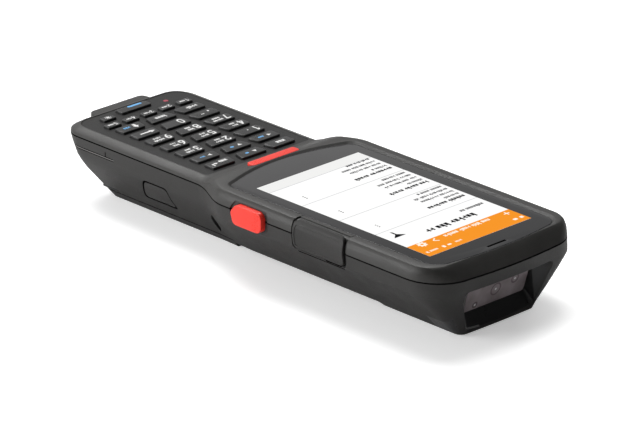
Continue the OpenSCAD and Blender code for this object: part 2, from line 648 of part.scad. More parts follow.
// Seal in a groove along the parting line
module gasket_ring(gap) {
    outer = full_ring([part_z, part_z, side_x - 0.8 + gap, nose_y - 0.8 + gap, nose_r - 0.8,
        keypad_w/2 - 0.8 + gap, tail_y + 0.8 - gap, tail_r - 0.8], 0, 1);
    inner = full_ring([part_z, part_z, side_x - 1.6 - gap, nose_y - 1.6 - gap, nose_r - 1.6,
        keypad_w/2 - 1.6 - gap, tail_y + 1.6 + gap, tail_r - 1.6], 0, 1);
    translate([0, 0, part_z - 0.8 - gap]) linear_extrude(0.8 + 2*gap) difference() {
        polygon([for (p = outer) [p[0], p[1]]]);
        polygon([for (p = inner) [p[0], p[1]]]);
    }
}
module housing_gasket() {
    color("#151515") difference() {
        gasket_ring(0);
        both_sides() block(side_x - 8, wide, trigger_y - trigger_l/2 - 2, trigger_y + trigger_l/2 + 2,
            0, body_h);
        block(side_x - 8, wide, flap_y - 2, flap_y + flap_l + 1, 0, body_h);
    }
}
module screw(p, z) {
    difference() {
        rod(p, head_d, z, z + head_h);
        for (a = [0, 90]) translate([p[0], p[1], z]) rotate(a) block(-1.2, 1.2, -0.25, 0.25, -1, 0.7);
    }
    rod(p, screw_d - 0.04, z + head_h - eps, part_z + 1.2);
}
module housing_screws() {
    color("silver") both_sides() {
        screw(waist_screw, bay_top - 0.2);
        screw(tail_screw, tail_head_z - head_h);
    }
}

module touch_glass() {
    color("#5d5f61") difference() {
        glass_plate(0, glass_bed, body_h);
        block(-earpiece_l/2, earpiece_l/2, screen_y + glass_up - 2.9 - earpiece_w/2,
            screen_y + glass_up - 2.9 + earpiece_w/2, 0, body_h + 1);
    }
}
module display_panel() {
    color("white") block(-display_w/2, display_w/2, screen_y - display_l/2, screen_y + display_l/2,
        display_bed, glass_bed);
}
module earpiece() {
    color("#222222") block(-6.5, 6.5, screen_y + display_l/2 + 0.6, screen_y + display_l/2 + 6.4,
        part_z + 0.2, roof_z);
}
module keypad_panel() {
    color("#383838") difference() {
        plate(panel_corners, ledge_z, deck_z);
        for (k = all_keys) plate(grow(k, key_gap), ledge_z - 1, deck_z + 1, 3);
        rod(led_at, 2.2, 0, body_h);
    }
}
// Sheet under the keys, cut out round the tail screws
module under_keys(z0, z1) {
    w = panel_w/2 - 2.2;
    difference() {
        union() {
            plate([[-w, tip_y + 2.4, 4], [w, tip_y + 2.4, 4],
                [w, ramp_y - 0.8, 1], [-w, ramp_y - 0.8, 1]], z0, z1);
            block(-8, 8, ramp_y - 2, scan_y + 2.2, z0, z1);
        }
        both_sides() rod(tail_screw, boss_d + 0.6, 0, body_h);
    }
}
module keypad_mat() {
    color("#555555") difference() {
        under_keys(board_z + board_t, mat_z);
        rod(led_at, 3, 0, body_h);
    }
}
module keypad_board() {
    color(board_green) under_keys(board_z, board_z + board_t);
}
module status_light() {
    color("#d8455a") rod(led_at, 2, board_z + board_t, deck_z + 0.1);
}

module main_board() {
    w = side_x - 6.9;
    y0 = screen_y - display_l/2 + 3.5;
    y1 = nose_y - nose_wall - 19.5;
    corners = [[-w, y0, 2], [w, y0, 2], [w, y1, 2], [-w, y1, 2]];
    color(board_green) difference() {
        plate(corners, pcb_z, pcb_z + pcb_t);
        posts(screw_d + 0.3, 0, body_h);
    }
}
module board_screws() {
    color("silver") {
        posts(head_d, pcb_z + pcb_t, pcb_z + pcb_t + 1.1);
        posts(screw_d - 0.04, pcb_z - 4, pcb_z + pcb_t + eps);
    }
}
module usb_socket() {
    color("silver") difference() {
        block(side_x - 9, side_x - 3.9, usb_y - 4.5, usb_y + 4.5, pcb_z + pcb_t, port_z + 1.8);
        block(side_x - 8, side_x, usb_y - 4.1, usb_y + 4.1, port_z - 1.2, port_z + 1.4);
    }
}
module audio_socket() {
    color("#2a2a2a") difference() {
        block(side_x - 14, side_x - 5, jack_y - 3, jack_y + 3, pcb_z + pcb_t, port_z + 2.6);
        translate([side_x - 12, jack_y, port_z]) rotate([0, 90, 0]) cylinder(d = 3.5, h = 12, $fn = 48);
    }
}
module trigger_switches() {
    color("#8a8a8a") both_sides() {
        block(side_x - 10, side_x - 6.9, trigger_y - 3, trigger_y + 3, pcb_z + pcb_t, pcb_z + pcb_t + 3.4);
        translate([side_x - 7, trigger_y, pcb_z + pcb_t + 1.9]) rotate([0, 90, 0])
            cylinder(d = 2, h = 0.7, $fn = 32);
    }
}

module scan_window() {
    color("#4a2226") nose_box(window_w, window_s - window_h/2, window_s + window_h/2,
        -hood_d - window_t, -hood_d, 1.1);
}
module window_seal() {
    color("#111111") difference() {
        nose_box(window_w, window_s - window_h/2, window_s + window_h/2,
            -hood_d - window_t - 0.5, -hood_d - window_t, 1.1);
        nose_box(window_w - 3, window_s - window_h/2 + 1.4, window_s + window_h/2 - 1.4, -hood_d - 5, 0, 1);
    }
}
engine_y = -nose_wall - 0.4;                    // face of the scan engine, behind the nose's wall
module scan_engine() {
    color("#2b2b2d") difference() {
        union() {
            on_nose() block(-12.5, 12.5, engine_y - 11, engine_y, window_s - 5.7, window_s + 5.1);
            block(-10, 10, nose_y - 27, nose_y - 22.5, floor_z, window_s - 1.3);
        }
        on_nose() translate([0, engine_y + 1, window_s]) rotate([90, 0, 0])
            cylinder(d = lens_d, h = 5, $fn = 48);
    }
}
module scan_lens() {
    color("#402030") on_nose() translate([0, engine_y + 0.6, window_s]) rotate([90, 0, 0]) difference() {
        cylinder(d = lens_d, h = 4.6, $fn = 48);
        translate([0, 0, -1]) cylinder(d = lens_d*0.55, h = 2, $fn = 48);
    }
}

module battery_cover() {
    color(darker) difference() {
        intersection() {
            lower_form();
            block(-wide, wide, -body_l, cover_y - slack, -1, cover_z);
        }
        block(-pack_w/2 - slack, pack_w/2 + slack, pack_y0 - slack, pack_y0 + pack_l + slack,
            cover_t, cover_z + 1);
    }
}
module battery_pack() {
    color("#4b4f57") plate([[-pack_w/2, pack_y0, 1.5], [pack_w/2, pack_y0, 1.5],
        [pack_w/2, pack_y0 + pack_l, 1.5], [-pack_w/2, pack_y0 + pack_l, 1.5]], cover_t, pack_top);
}
module battery_contacts() {
    color("gold") block(-6, 6, bay_end - 1.2, bay_end, pack_top - 10.9, pack_top - 5.9);
}
module latch() {
    color(darker) union() {
        intersection() {
            flank_band(0.1, latch_wall + 1.5, latch_y - 12, latch_y + 12);
            side_plate(latch_corners, 0, 40, 3);
        }
        intersection() {
            flank_band(latch_wall + 0.3, latch_wall + 1.5, latch_y - 12, latch_y + 12);
            side_plate(grow(latch_corners, 0.7), 0, 40, 3);
        }
    }
}
module latch_right() { latch(); }
module latch_left() { mirror([1, 0, 0]) latch(); }
module strap_bars() {
    color("silver") both_sides() translate([flank_at(strap_z) - 0.9, strap_y - strap_l/2, strap_z])
        rotate([-90, 0, 0]) cylinder(d = 1.4, h = strap_l, $fn = 32);
}

module port_cover() {
    field = grow(flap_corners, -1.3);
    color("#2c2c2b") difference() {
        intersection() {
            bar(concat(shoulder(flap_out), [[side_x - 4, bezel_z - 0.2], [side_x - 1.9, bezel_z - 0.6],
                [flap_in, bezel_z - 1.8], [flap_in, crease_z]]), flap_y - 2, flap_y + flap_l + 2);
            side_plate(flap_corners, side_x - 1.9, side_x + 5);
        }
        intersection() {
            bar(concat(shoulder(3), [for (i = [6:-1:0]) shoulder(flap_out - 0.25)[i]]),
                flap_y, flap_y + flap_l);
            side_plate([[flap_y + 0.8, flap_z + 0.8, 1.2], [flap_y + flap_l - 0.8, flap_z + 0.8, 1.2],
                [flap_y + flap_l - 0.8, body_h - 1, 1.6], [flap_y + 0.8, body_h - 1, 1.6]],
                side_x - 3, side_x + 5);
        }
    }
}
module cover_anchor() {
    color("#2c2c2b") block(side_x - 2.2, side_x - 0.8, flap_y - anchor_l + 0.1, flap_y - 0.02,
        flap_z + 1.1, part_z + 1.9);
}
module trigger() {
    color(signal_red) union() {
        side_plate(trigger_corners, trigger_foot_x, trigger_face);
        side_plate(grow(trigger_corners, flange), trigger_foot_x, trigger_back_x - 0.15);
    }
}
module trigger_right() { trigger(); }
module trigger_left() { mirror([1, 0, 0]) trigger(); }
module scan_key() {
    color(signal_red) union() {
        plate(scan_corners, ledge_z - 0.3, scan_top, 3);
        plate(grow(scan_corners, flange - 0.1), ledge_z - 0.3, ledge_z + 0.6, 3);
    }
}

upper_housing();
lower_housing();
housing_gasket();
housing_screws();
touch_glass();
display_panel();
earpiece();
keypad_panel();
keypad_mat();
keypad_board();
status_light();
main_board();
board_screws();
usb_socket();
audio_socket();
trigger_switches();
scan_window();
window_seal();
scan_engine();
scan_lens();
battery_cover();
battery_pack();
battery_contacts();
latch_right();
latch_left();
strap_bars();
port_cover();
cover_anchor();
trigger_right();
trigger_left();
scan_key();
main_key(-1, 0);  // key_escape
main_key(0, 0);  // key_up
main_key(1, 0);  // key_enter
main_key(-1, 1);  // key_left
main_key(0, 1);  // key_down
main_key(1, 1);  // key_right
main_key(-1, 2);  // key_1
main_key(0, 2);  // key_2
main_key(1, 2);  // key_3
main_key(-1, 3);  // key_4
main_key(0, 3);  // key_5
main_key(1, 3);  // key_6
main_key(-1, 4);  // key_7
main_key(0, 4);  // key_8
main_key(1, 4);  // key_9
main_key(-1, 5);  // key_point
main_key(0, 5);  // key_0
main_key(1, 5);  // key_back
main_key(-1, 6);  // key_alpha
main_key(0, 6);  // key_function
main_key(1, 6);  // key_shift
key_cap(small_corners(1));  // key_f1
key_cap(small_corners(2));  // key_f2
key_cap(small_corners(3));  // key_f3
key_cap(small_corners(4));  // key_f4
key_cap(small_corners(5));  // key_f5
key_cap(light_corners);  // key_light
key_cap(power_corners);  // key_power
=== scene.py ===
import bpy, bmesh
import json, math, random
from mathutils import Matrix, Vector

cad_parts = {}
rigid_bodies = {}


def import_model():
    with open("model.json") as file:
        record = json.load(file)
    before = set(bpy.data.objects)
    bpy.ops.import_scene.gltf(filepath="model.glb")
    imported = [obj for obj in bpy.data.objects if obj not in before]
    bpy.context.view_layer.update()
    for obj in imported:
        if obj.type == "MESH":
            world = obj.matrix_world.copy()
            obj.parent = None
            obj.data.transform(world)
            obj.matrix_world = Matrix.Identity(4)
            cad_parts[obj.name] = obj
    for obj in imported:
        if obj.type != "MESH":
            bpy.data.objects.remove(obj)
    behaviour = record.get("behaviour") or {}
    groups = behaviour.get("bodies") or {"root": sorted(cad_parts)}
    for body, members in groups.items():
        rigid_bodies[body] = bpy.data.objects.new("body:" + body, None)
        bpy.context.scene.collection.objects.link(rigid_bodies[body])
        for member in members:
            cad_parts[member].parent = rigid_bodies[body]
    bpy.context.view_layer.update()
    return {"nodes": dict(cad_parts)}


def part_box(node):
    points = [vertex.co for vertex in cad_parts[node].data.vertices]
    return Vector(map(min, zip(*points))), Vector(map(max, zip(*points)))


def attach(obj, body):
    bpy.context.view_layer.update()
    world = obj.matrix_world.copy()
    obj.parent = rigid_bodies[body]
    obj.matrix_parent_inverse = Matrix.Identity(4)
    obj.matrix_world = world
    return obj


for o in list(bpy.data.objects):
    bpy.data.objects.remove(o)
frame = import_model()
nodes = frame["nodes"]
rnd = random.Random(11)
MM = 0.001

# Places on the device, in mm: +Y runs towards the scanner, +Z out of the screen
SCREEN_Y, BODY_H, PART_Z = 43.0, 30.0, 25.0      # middle of the screen, face of the glass, parting line
SIDE_X, COVER_Z, BAY_END = 37.9, 3.0, -17.5      # screen half's side; battery cover's edge and inner end
NOSE_Y, NOSE_RAKE, NOSE_BOW = 103.0, 16.0, 2.2   # front at the parting line, lean in degrees, bow per metre
HOOD_HALF, HOOD_LOW, HOOD_TOP = 25.0, 1.2, 20.6  # mouth of the scanner's hood: half width, lowest, highest
HOOD_BACK, HOOD_WALL = 84.0, 15.5                # where the hood ends inside, and where its side walls start
GROOVE_Z, GROOVE_END = (20.95, 20.15), -72.2     # heights of the two grooves round the tail, and their end
ACTIVE_W, ACTIVE_L, PIXEL = 51.84, 86.4, 0.11    # lit picture, and the pitch of its pixels
GAP, LINE_FADE = 0.3, 0.08                       # gap between two pieces, soft edge of a drawn line
# Outlines on the side, as (y, z) corners, anticlockwise: release latch, port cover
LATCH = ((-60.25, 8.6), (-43.55, 8.6), (-44.8, 17.0), (-56.6, 17.0))
FLAP = ((30.6, 19.9), (55.6, 19.9), (55.6, 34.0), (30.6, 34.0))
# Black of the painted shade in the gaps
GAP_SHADE_BLACK = (0.0006, 0.0006, 0.0006, 1)
# Painted shade inside the scanner's hood, a little lighter on its side walls; painted highlights on its rim
# and on the tail's ridge
HOOD_SHADE_BLACK, HOOD_WALL_SHADE_GREY = (0.004, 0.004, 0.0045, 1), (0.022, 0.022, 0.023, 1)
RIM_HIGHLIGHT_GREY, RIDGE_HIGHLIGHT_GREY = (0.20, 0.20, 0.20, 1), (0.16, 0.155, 0.15, 1)
# Bounds of the painted highlight on the hood's rim: slant of its edge, start in x, end
RIM_SLANT, RIM_START, RIM_END = -0.75, 10.0, 16.2


# ---------------------------------------------------------------- materials
class Paint:
    """A Principled material built node by node, in object coordinates, so its grain has real sizes."""

    def __init__(self, name, **sockets):
        self.mat = bpy.data.materials.new(name)
        self.mat.use_nodes = True
        self.tree = self.mat.node_tree
        self.shader = self.tree.nodes["Principled BSDF"]
        self.where = self.node("ShaderNodeTexCoord").outputs["Object"]
        for key, value in sockets.items():
            self.shader.inputs[key.replace("_", " ")].default_value = value

    def put(self, socket, value):
        if hasattr(value, "is_output"):
            self.tree.links.new(value, socket)
        else:
            socket.default_value = value

    def node(self, kind, **inputs):
        n = self.tree.nodes.new(kind)
        for key, value in inputs.items():
            numbered = key[0] == "i" and key[1:].isdigit()
            self.put(n.inputs[int(key[1:])] if numbered else n.inputs[key.replace("_", " ")], value)
        return n

    def math(self, op, a, b=0.0, c=0.0):
        n = self.node("ShaderNodeMath", i0=a, i1=b, i2=c)
        n.operation = op
        return n.outputs[0]

    def every(self, op, values):
        """One operation over several values, such as the product of masks or the largest of them."""
        out = values[0]
        for value in values[1:]:
            out = self.math(op, out, value)
        return out

    def ramp(self, value, lo, hi, out_lo=0.0, out_hi=1.0):
        n = self.node("ShaderNodeMapRange", i0=value, i1=lo, i2=hi, i3=out_lo, i4=out_hi)
        n.clamp = True
        return n.outputs[0]

    def noise(self, size_mm, detail=2.0, rough=0.5, stretch=None):
        at = self.where
        if stretch:
            mapping = self.node("ShaderNodeMapping", Vector=at)
            mapping.inputs["Scale"].default_value = stretch
            at = mapping.outputs[0]
        return self.node("ShaderNodeTexNoise", Vector=at, Scale=1000.0 / size_mm, Detail=detail,
                         Roughness=rough).outputs[0]

    def mix(self, factor, a, b):
        n = self.tree.nodes.new("ShaderNodeMix")
        n.data_type = "RGBA"
        for socket, value in ((n.inputs[0], factor), (n.inputs[6], a), (n.inputs[7], b)):
            self.put(socket, value)
        return n.outputs[2]

    def set(self, socket, value):
        self.put(self.shader.inputs[socket], value)

    def axes(self):
        n = self.node("ShaderNodeSeparateXYZ", Vector=self.where)
        return n.outputs[0], n.outputs[1], n.outputs[2]

    def bump(self, height, strength, depth_mm, round_mm=0.0):
        n = self.node("ShaderNodeBump", Height=height, Strength=strength, Distance=depth_mm * MM)
        if round_mm:
            soft = self.node("ShaderNodeBevel", Radius=round_mm * MM)
            soft.samples = 6
            self.put(n.inputs["Normal"], soft.outputs[0])
        self.set("Normal", n.outputs[0])

    def edge_mask(self, round_mm):
        """1 on an edge, 0 on a flat: how far a rounded normal leans from the true one."""
        soft = self.node("ShaderNodeBevel", Radius=round_mm * MM)
        soft.samples = 4
        true = self.node("ShaderNodeNewGeometry")
        dot = self.node("ShaderNodeVectorMath", i0=soft.outputs[0], i1=true.outputs["Normal"])
        dot.operation = "DOT_PRODUCT"
        return self.ramp(dot.outputs["Value"], 0.998, 0.93)

    def band(self, value, middle_mm, half_mm):
        """1 where a coordinate is within half_mm of the middle."""
        away = self.math("ABSOLUTE", self.math("SUBTRACT", value, middle_mm * MM))
        return self.ramp(away, half_mm * MM, (half_mm + LINE_FADE) * MM, 1.0, 0.0)

    def beyond(self, value, limit_mm):
        return self.math("GREATER_THAN", value, limit_mm * MM)

    def short_of(self, value, limit_mm):
        return self.math("LESS_THAN", value, limit_mm * MM)

    def outline(self, corners, soft_mm, half_mm, middle_mm=GAP / 2, both_sides=True):
        """1 on the line that runs round a piece on the side, its corners rounded by soft_mm."""
        x, y, z = self.axes()
        edges = []
        for (ay, az), (by, bz) in zip(corners, corners[1:] + corners[:1]):
            long = math.hypot(by - ay, bz - az)
            ny, nz = (bz - az) / long, (ay - by) / long
            start = -(ay * ny + az * nz) * MM
            edges.append(self.math("MULTIPLY_ADD", y, ny, self.math("MULTIPLY_ADD", z, nz, start)))
        away = edges[0]
        for edge in edges[1:]:
            away = self.math("SMOOTH_MAX", away, edge, soft_mm * MM)
        side = self.math("ABSOLUTE", x) if both_sides else x
        return self.every("MULTIPLY", [self.band(away, middle_mm, half_mm), self.beyond(side, 20.0)])

    def darken(self, base, lines):
        """Painted shade: black without shine on the lines over the gaps."""
        gap = self.every("MAXIMUM", lines)
        shine = self.shader.inputs["Specular IOR Level"].default_value
        self.set("Specular IOR Level", self.ramp(gap, 0.0, 1.0, shine, 0.0))
        return self.mix(gap, base, GAP_SHADE_BLACK)


def shade(color, k):
    return (color[0] * k, color[1] * k, color[2] * k, 1.0)


# Masks for painted shade: dark lines that lie over the real gaps and grooves of the CAD, which are narrower
# than a pixel of the picture, and stand in for the shade in them.
# Each band has the middle and half the width of its line.
def flap_gaps(p):
    """Painted shade round the port cover: its outline, a painted shadow line behind its upper edge, and the
    slot for a fingernail painted dark.
    """
    x, y, z = p.axes()
    (y0, z0), (y1, _) = FLAP[:2]
    # Painted shadow line in the trough behind the cover's upper edge
    behind = p.every("MULTIPLY", [p.band(x, SIDE_X - 2.0, 0.3), p.band(y, (y0 + y1) / 2, 11.6)])
    # The fingernail slot painted dark, as painted shade
    slot = p.every("MULTIPLY", [p.band(z, z0 - 0.45, 0.5), p.band(y, y1 - 5.6, 3.9), p.beyond(x, 30.0)])
    return [p.outline(FLAP, 3.2, 0.13, GAP, both_sides=False), behind, slot]


def module_gaps(p):
    """Painted shade: the latch's outline, and the seam where the battery cover meets the housing."""
    _, y, z = p.axes()
    seam = p.every("MULTIPLY", [p.band(z, COVER_Z + GAP / 2, 0.2), p.short_of(y, BAY_END)])
    return [seam, p.outline(LATCH, 2.4, 0.3)]


# Painted shade on the parting line
def parting_gap(p):
    return [p.band(p.axes()[2], PART_Z, 0.22)]


# Painted shade in the two grooves round the tail
def groove_gaps(p):
    _, y, z = p.axes()
    at_tail = p.short_of(y, GROOVE_END)
    return [p.every("MULTIPLY", [p.band(z, level, 0.14), at_tail]) for level in GROOVE_Z]


def hood_and_ridge(p, base, rough):
    """Painted shade and painted highlights: the scanner's hood painted black and smooth inside, its side
    walls a little less dark, a painted highlight on the rim of its mouth, and one on the ridge between the
    tail's grooves.
    """
    x, y, z = p.axes()
    slope = math.tan(math.radians(NOSE_RAKE))
    face = p.math("MULTIPLY_ADD", z, slope, (NOSE_Y - PART_Z * slope) * MM)
    behind = p.math("SUBTRACT", p.math("SUBTRACT", face, y), p.every("MULTIPLY", [x, x, NOSE_BOW]))
    off = p.math("ABSOLUTE", x)
    mouth = [p.ramp(off, HOOD_HALF * MM, (HOOD_HALF + 0.4) * MM, 1.0, 0.0),
             p.ramp(z, HOOD_LOW * MM, (HOOD_LOW + 0.2) * MM),
             p.ramp(z, HOOD_TOP * MM, (HOOD_TOP + 0.3) * MM, 1.0, 0.0)]
    inside = p.every("MULTIPLY", mouth + [p.ramp(behind, 0.35 * MM, 0.5 * MM),
                                          p.ramp(y, HOOD_BACK * MM, (HOOD_BACK + 0.5) * MM)])
    wall = p.ramp(off, HOOD_WALL * MM, (HOOD_WALL + 1.0) * MM)
    # Painted shade: the hood's inside black, its side walls a little lighter
    base = p.mix(inside, base, p.mix(wall, HOOD_SHADE_BLACK, HOOD_WALL_SHADE_GREY))
    rough = p.math("SUBTRACT", rough, p.math("MULTIPLY", inside, 0.2))
    # The rim's painted highlight lies on its +X part only, up to a slanting line short of the nose's outer
    # corner
    slant = p.math("MULTIPLY_ADD", z, RIM_SLANT, x)
    rim = mouth + [p.band(behind, 0.45, 0.22), p.beyond(x, RIM_START), p.short_of(slant, RIM_END)]
    base = p.mix(p.every("MULTIPLY", rim), base, RIM_HIGHLIGHT_GREY)
    # Painted highlight on the ridge between the tail's two grooves
    ridge = p.every("MULTIPLY", [p.band(z, sum(GROOVE_Z) / 2, 0.12), p.short_of(y, GROOVE_END)])
    return p.mix(ridge, base, RIDGE_HIGHLIGHT_GREY), rough


def plastic(name, color, rough=0.5, grain=0.35, depth=0.03, round_mm=0.3, wear=0.35, vary=0.12, cloud=9.0,
            extra=None, gaps=(), shine=0.5):
    """Moulded plastic or rubber: spark-eroded grain, cloudy handling marks, and edges lighter, as rubbed
    wear; where the wear is large, as on the keys, it is also a painted highlight.
    """
    p = Paint(name, Specular_IOR_Level=shine)
    fine = p.noise(grain, 1.0)
    marks = p.noise(cloud, 4.0, 0.6)
    base = p.mix(p.ramp(marks, 0.3, 0.7), shade(color, 1 - vary), shade(color, 1 + vary))
    base = p.mix(p.ramp(fine, 0.35, 0.65, 0.0, 0.35), base, shade(color, 0.8))
    # Edges lighter: rubbed wear, and where the wear is large also a painted highlight
    if wear:
        base = p.mix(p.math("MULTIPLY", p.edge_mask(round_mm), wear), base, shade(color, 1.9))
    gloss = p.math("ADD", p.ramp(marks, 0.3, 0.7, -0.05, 0.05),
                   p.ramp(fine, 0.3, 0.7, rough - 0.04, rough + 0.04))
    if extra:
        base, gloss = extra(p, base, gloss)
    # Painted shade over the gaps: black and without shine
    if gaps:
        base = p.darken(base, [line for find in gaps for line in find(p)])
    p.set("Base Color", base)
    p.set("Roughness", gloss)
    p.bump(fine, 0.35, depth, round_mm)
    return p.mat


def metal(name, color, rough, stretch=None):
    """Bare or blackened metal with fine streaks."""
    p = Paint(name, Metallic=1.0)
    streaks = p.noise(0.2, 3.0, 0.6, stretch)
    p.set("Base Color", p.mix(p.ramp(streaks, 0.3, 0.7), shade(color, 0.85), shade(color, 1.05)))
    p.set("Roughness", p.ramp(streaks, 0.2, 0.8, rough - 0.08, rough + 0.1))
    p.bump(streaks, 0.2, 0.01, 0.15)
    return p.mat


def lit(name, color):
    """A patch of the lit picture: an even glow with the display's fine pixel grid."""
    p = Paint(name, Roughness=0.6, Specular_IOR_Level=0.0, Emission_Strength=1.0)
    x, y, _ = p.axes()
    wave = math.tau / (PIXEL * MM)
    grid = p.every("MULTIPLY", [p.math("SINE", p.math("MULTIPLY", axis, wave)) for axis in (x, y)])
    level = p.ramp(p.math("ADD", grid, p.math("MULTIPLY", p.noise(20, 1.0), 0.3)), -1.0, 1.3, 0.97, 1.0)
    p.set("Base Color", p.mix(level, (0, 0, 0, 1), shade(color, 0.05)))
    p.set("Emission Color", p.mix(level, (0, 0, 0, 1), shade(color, 1.0)))
    return p.mat


# Numbers after the colour: roughness, grain's size and depth in mm, edges' radius in mm, wear on the edges
# (on the keys also a painted highlight)
HOUSING = (0.031, 0.030, 0.028)
HOUSING_LOW = (0.028, 0.027, 0.026)
upper_shell = plastic("upper_shell", HOUSING, 0.5, 0.32, 0.03, 0.35, 0.3,
                      gaps=(flap_gaps, parting_gap), shine=0.4)
lower_shell = plastic("lower_shell", HOUSING_LOW, 0.52, 0.32, 0.035, 0.35, 0.45, extra=hood_and_ridge,
                      gaps=(groove_gaps, flap_gaps, module_gaps, parting_gap), shine=0.35)
cover_shell = plastic("cover_shell", HOUSING_LOW, 0.52, 0.32, 0.035, 0.3, 0.35, gaps=(module_gaps,),
                      shine=0.35)
latch_shell = plastic("latch_shell", HOUSING_LOW, 0.45, 0.3, 0.03, 0.3, 0.5, gaps=(module_gaps,),
                      shine=0.4)
key_deck = plastic("key_deck", (0.016, 0.0155, 0.015), 0.5, 0.28, 0.03, 0.2, 0.3, shine=0.25)
# The keys' edges are lightened strongly: partly rubbed wear, partly a painted highlight on the edges of their
# tops
key_skin = plastic("key_skin", (0.024, 0.024, 0.024), 0.32, 0.22, 0.012, 0.3, 0.9, cloud=6.0, shine=0.4)
signal_red = plastic("signal_red", (0.95, 0.045, 0.028), 0.32, 0.4, 0.01, 0.3, 0.12, 0.05, shine=0.35)
cover_rubber = plastic("cover_rubber", (0.022, 0.021, 0.020), 0.58, 0.4, 0.03, 0.3, 0.5, cloud=5.0,
                       gaps=(flap_gaps,), shine=0.4)
gasket = plastic("gasket", (0.006, 0.006, 0.006), 0.7, 0.4, 0.02, 0.1, 0)
glass_bond = plastic("glass_bond", (0.03, 0.03, 0.03), 0.5, 0.3, 0.01, 0.1, 0)
black_plastic = plastic("black_plastic", (0.012, 0.012, 0.013), 0.4, 0.3, 0.02, 0.15, 0.3)
switch_plastic = plastic("switch_plastic", (0.25, 0.25, 0.25), 0.45, 0.3, 0.02, 0.1, 0.2)
key_mat = plastic("key_mat", (0.09, 0.09, 0.09), 0.6, 0.4, 0.02, 0.2, 0.2)
pack_plastic = plastic("pack_plastic", (0.035, 0.037, 0.042), 0.42, 0.3, 0.02, 0.3, 0.4)
steel = metal("steel", (0.55, 0.55, 0.56), 0.3)
bar_steel = metal("bar_steel", (0.05, 0.05, 0.05), 0.35, (1, 0.1, 1))
brass = metal("brass", (0.82, 0.6, 0.25), 0.25)


def board_material():
    """Solder mask over copper: tracks show as lighter lines, with pads scattered over them."""
    p = Paint("board", Roughness=0.32, Coat_Weight=0.3)
    tracks = p.node("ShaderNodeTexBrick", Vector=p.where, Scale=420.0).outputs["Fac"]
    base = p.mix(tracks, (0.008, 0.075, 0.03, 1), (0.02, 0.16, 0.07, 1))
    speck = p.ramp(p.noise(1.6, 1.0), 0.62, 0.66)
    p.set("Base Color", p.mix(speck, base, (0.6, 0.5, 0.25, 1)))
    p.bump(tracks, 0.4, 0.03)
    return p.mat


def glass_material():
    """Touch glass over its black border, with a painted sheen that makes the border a little greyer at the
    keypad end, and faint finger marks.
    """
    p = Paint("touch_glass", IOR=1.5)
    smear = p.noise(14, 5.0, 0.65, (1, 0.5, 1))
    # Painted sheen: the border greyer at the keypad end, fading towards the earpiece
    sheen_fade = p.ramp(p.axes()[1], -15.0 * MM, 85.0 * MM)
    border = p.mix(sheen_fade, (0.024, 0.023, 0.024, 1), (0.007, 0.007, 0.008, 1))
    p.set("Base Color", p.mix(p.ramp(smear, 0.35, 0.7, 0.0, 0.4), border, (0.015, 0.015, 0.016, 1)))
    p.set("Roughness", p.ramp(smear, 0.45, 0.75, 0.03, 0.12))
    p.bump(p.noise(30, 1.0), 0.05, 0.02)
    return p.mat


# Rings round the scanner's lenses, seen in the window, each with a painted glint in its middle: middle in x
# and z, radius, in mm
WINDOW_RINGS = ((0.4, 12.9, 2.3), (9.9, 9.2, 1.0), (-9.0, 14.4, 1.6))


def window_material():
    """Dark reddish window, dusty and half clear, with the lenses' rings drawn on it and painted glints in
    them.
    """
    p = Paint("scan_window", IOR=1.5)
    dust = p.noise(6.0, 2.0, 0.5)
    base = p.mix(p.ramp(dust, 0.35, 0.7), (0.300, 0.255, 0.265, 1), (0.360, 0.320, 0.330, 1))
    x, _, z = p.axes()
    for cx, cz, r in WINDOW_RINGS:
        dx, dz = p.math("SUBTRACT", x, cx * MM), p.math("SUBTRACT", z, cz * MM)
        far = p.math("SQRT", p.math("ADD", p.math("MULTIPLY", dx, dx), p.math("MULTIPLY", dz, dz)))
        base = p.mix(p.band(far, r, 0.28), base, (0.20, 0.165, 0.175, 1))
        # Painted glint: a bright spot in the middle of each ring
        base = p.mix(p.ramp(far, 0.3 * MM, 0.5 * MM, 1.0, 0.0), base, (0.95, 0.92, 0.92, 1))
    p.set("Base Color", base)
    p.set("Roughness", p.ramp(dust, 0.4, 0.8, 0.06, 0.16))
    p.set("Alpha", p.ramp(dust, 0.3, 0.8, 0.74, 0.80))
    p.bump(dust, 0.05, 0.01, 0.15)
    return p.mat


def lens_material():
    """Coated lens, dark with a reddish cast."""
    p = Paint("scan_lens", Roughness=0.05, IOR=1.6, Coat_Weight=1.0, Coat_Roughness=0.03)
    cast = p.ramp(p.noise(3, 2.0), 0.3, 0.7)
    p.set("Base Color", p.mix(cast, (0.03, 0.006, 0.012, 1), (0.09, 0.02, 0.06, 1)))
    p.bump(p.noise(6, 1.0), 0.05, 0.01, 0.3)
    return p.mat


def led_material():
    """Clear red cap of the status light, unlit."""
    p = Paint("status_light", Roughness=0.25, IOR=1.5)
    p.set("Base Color", p.mix(p.noise(1.2, 2.0), (0.30, 0.03, 0.05, 1), (0.5, 0.08, 0.12, 1)))
    p.bump(p.noise(0.6, 1.0), 0.1, 0.02, 0.2)
    return p.mat


def print_material(name, color, glow):
    """Ink or paint on a key: slightly uneven, a little rubbed, with a faint glow that is painted light."""
    p = Paint(name, Roughness=0.5, Specular_IOR_Level=0.2, Emission_Strength=glow)
    worn = p.noise(0.7, 4.0, 0.7)
    base = p.mix(p.ramp(worn, 0.3, 0.8, 0.0, 0.35), shade(color, 1.0), shade(color, 0.6))
    p.set("Base Color", base)
    p.set("Emission Color", base)
    p.bump(worn, 0.1, 0.01)
    return p.mat


board = board_material()
touch_glass = glass_material()
scan_window = window_material()
scan_lens = lens_material()
status_light = led_material()
# The ink's glow is painted light that brightens the legends
ink_white = print_material("ink_white", (0.75, 0.75, 0.74), 0.12)
ink_blue = print_material("ink_blue", (0.14, 0.40, 0.72), 0.2)

